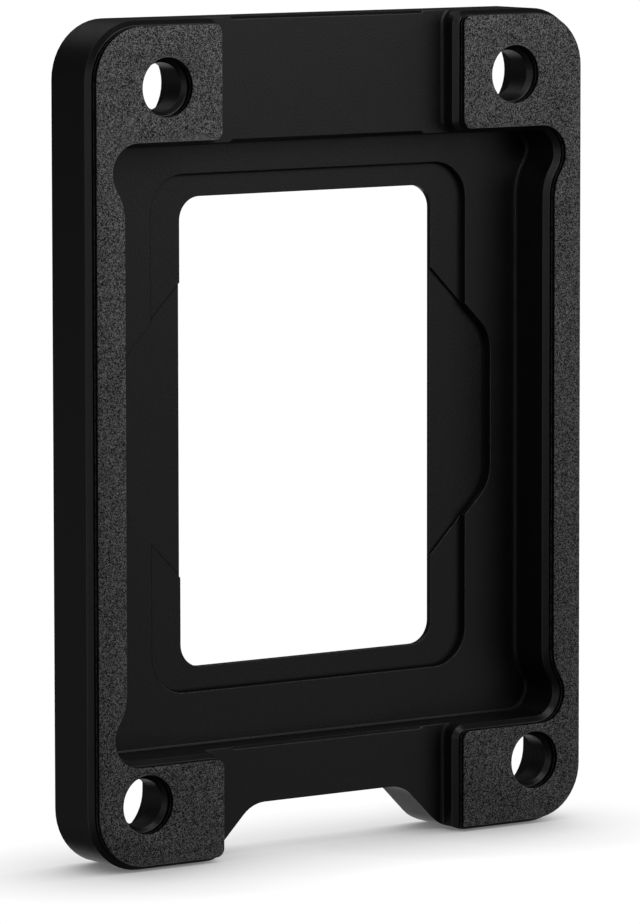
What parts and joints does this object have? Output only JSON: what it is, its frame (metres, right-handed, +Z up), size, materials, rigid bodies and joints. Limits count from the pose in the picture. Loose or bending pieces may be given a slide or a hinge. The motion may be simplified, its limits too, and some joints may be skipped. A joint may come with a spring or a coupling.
{
  "type": "cpu socket retention frame",
  "caption": "Flat metal frame that presses a desktop processor into its socket, with insulating pads on the underside.",
  "frame": {"origin": "centre of the part's box in X and Y, at its lowest edge, on which it stands", "axes": "+X across the frame, +Y from the padded underside to the outer face, +Z up the frame, away from the notched edge"},
  "size_m": [0.051, 0.0068, 0.071],
  "materials": {
    "black_anodised_aluminium": "fine matt black anodising over milled faces",
    "textured_insulating_pad": "finely grained matt sheet"
  },
  "bodies": {
    "root": {"frame_body": "black_anodised_aluminium", "left_pad": "textured_insulating_pad", "right_pad": "textured_insulating_pad"}
  },
  "joints": []
}
